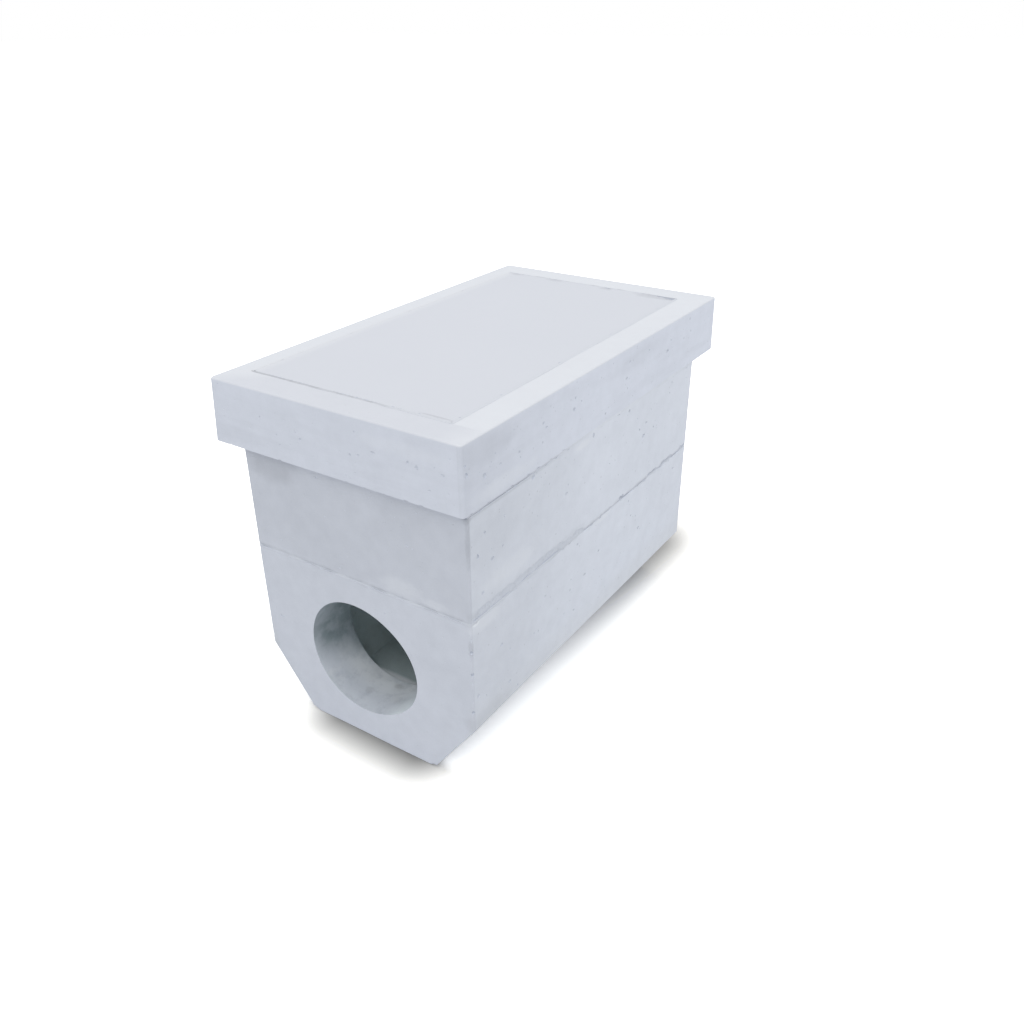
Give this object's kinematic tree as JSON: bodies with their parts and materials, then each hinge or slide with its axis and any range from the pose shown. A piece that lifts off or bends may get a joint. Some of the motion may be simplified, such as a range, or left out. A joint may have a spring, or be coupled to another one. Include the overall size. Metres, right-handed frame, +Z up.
{
  "type": "drainage inspection chamber",
  "caption": "Sectional precast concrete inspection chamber: trough base with in-line pipe bores, plain riser, overhanging cover frame and an inset lift-out cover slab.",
  "frame": {"origin": "middle of the base section's flat underside, which stands on the floor", "axes": "+Z up; +Y along the pipe run, from the front bore to the back bore; +X across the chamber, to the side where the cover frame is flush with the body"},
  "size_m": [0.687, 1.197, 0.841],
  "materials": {
    "body_concrete": "pale blue-grey cast concrete, matt, with fine bug holes",
    "frame_concrete": "pale cast concrete, matt, lighter on its trowelled rim",
    "slab_concrete": "pale trowelled concrete, matt and even",
    "bedding_mortar": "dark grey bedding mortar, matt"
  },
  "bodies": {
    "chamber": {"base_section": "body_concrete", "lower_bedding": "bedding_mortar", "riser_section": "body_concrete", "upper_bedding": "bedding_mortar", "cover_frame": "frame_concrete"},
    "cover": {"cover_slab": "slab_concrete"}
  },
  "joints": [
    {"name": "cover_lift", "type": "slide", "parent": "chamber", "child": "cover", "axis": [0, 0, 1], "range_m": [0, 0.15]}
  ]
}
